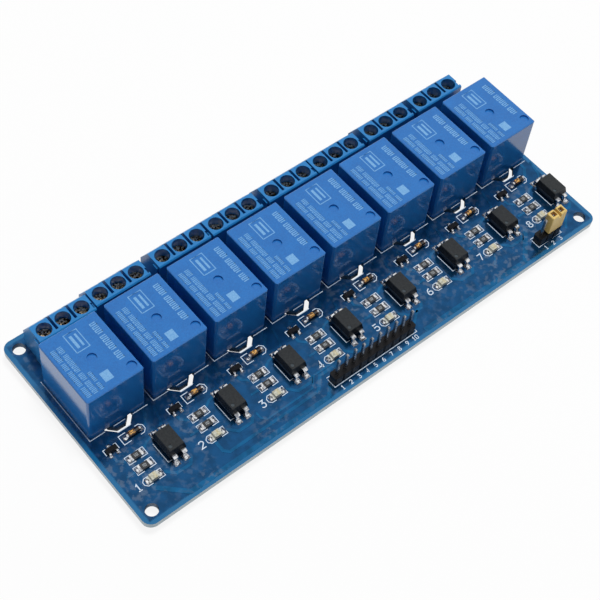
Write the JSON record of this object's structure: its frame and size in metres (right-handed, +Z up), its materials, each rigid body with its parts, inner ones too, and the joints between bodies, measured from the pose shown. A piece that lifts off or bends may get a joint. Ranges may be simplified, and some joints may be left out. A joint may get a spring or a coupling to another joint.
{
  "type": "relay module board",
  "caption": "Long blue circuit board with a row of sealed cube relays, screw terminal blocks behind them and opto-isolated driver circuits, pin headers and a jumper in front.",
  "frame": {"origin": "centre of the four mounting holes on the underside of the board", "axes": "+X along the row of relays, +Y from the pin headers at the front to the screw terminals at the back, +Z up out of the component side"},
  "size_m": [0.142, 0.058, 0.019],
  "materials": {
    "solder_mask": "glossy blue solder mask over copper, grey laminate at the edges",
    "relay_plastic": "smooth moulded blue",
    "relay_base_plastic": "moulded blue",
    "soft_iron": "plated",
    "bobbin_plastic": "moulded, off-white",
    "copper_wire": "enamelled winding",
    "contact_bronze": "rolled strip",
    "tinned_metal": "tin plated",
    "terminal_plastic": "smooth moulded blue",
    "plated_screw": "plated, yellowish",
    "clamp_brass": "plated",
    "black_epoxy": "moulded, slightly rough",
    "diode_glass": "clear glass over an orange-brown inside",
    "resistor_glaze": "black glaze",
    "led_substrate": "white base",
    "led_resin": "cloudy pale yellow resin",
    "header_plastic": "moulded black",
    "jumper_plastic": "moulded pale yellow",
    "solder": "bright, slightly wavy"
  },
  "bodies": {
    "root": {"circuit_board": "solder_mask", "relay_cover_1": "relay_plastic", "relay_cover_2": "relay_plastic", "relay_cover_3": "relay_plastic", "relay_cover_4": "relay_plastic", "relay_cover_5": "relay_plastic", "relay_cover_6": "relay_plastic", "relay_cover_7": "relay_plastic", "relay_cover_8": "relay_plastic", "relay_bases": "relay_base_plastic", "relay_yokes": "soft_iron", "relay_cores": "soft_iron", "relay_bobbins": "bobbin_plastic", "relay_coils": "copper_wire", "relay_armatures": "soft_iron", "relay_springs": "contact_bronze", "relay_fixed_contacts": "contact_bronze", "relay_pins": "tinned_metal", "terminal_housing_1": "terminal_plastic", "terminal_housing_2": "terminal_plastic", "terminal_housing_3": "terminal_plastic", "terminal_housing_4": "terminal_plastic", "terminal_housing_5": "terminal_plastic", "terminal_housing_6": "terminal_plastic", "terminal_housing_7": "terminal_plastic", "terminal_housing_8": "terminal_plastic", "terminal_screws": "plated_screw", "terminal_clamps": "clamp_brass", "terminal_pins": "tinned_metal", "optocoupler_1": "black_epoxy", "optocoupler_2": "black_epoxy", "optocoupler_3": "black_epoxy", "optocoupler_4": "black_epoxy", "optocoupler_5": "black_epoxy", "optocoupler_6": "black_epoxy", "optocoupler_7": "black_epoxy", "optocoupler_8": "black_epoxy", "optocoupler_leads": "tinned_metal", "diode_bodies": "diode_glass", "diode_caps": "tinned_metal", "transistor_bodies": "black_epoxy", "transistor_leads": "tinned_metal", "resistor_bodies": "resistor_glaze", "resistor_caps": "tinned_metal", "led_bases": "led_substrate", "led_lenses": "led_resin", "input_header_base": "header_plastic", "input_header_pins": "tinned_metal", "power_header_base": "header_plastic", "power_header_pins": "tinned_metal", "jumper_cap": "jumper_plastic", "jumper_clip": "clamp_brass", "solder_pads": "solder", "solder_joints": "solder"}
  },
  "joints": []
}
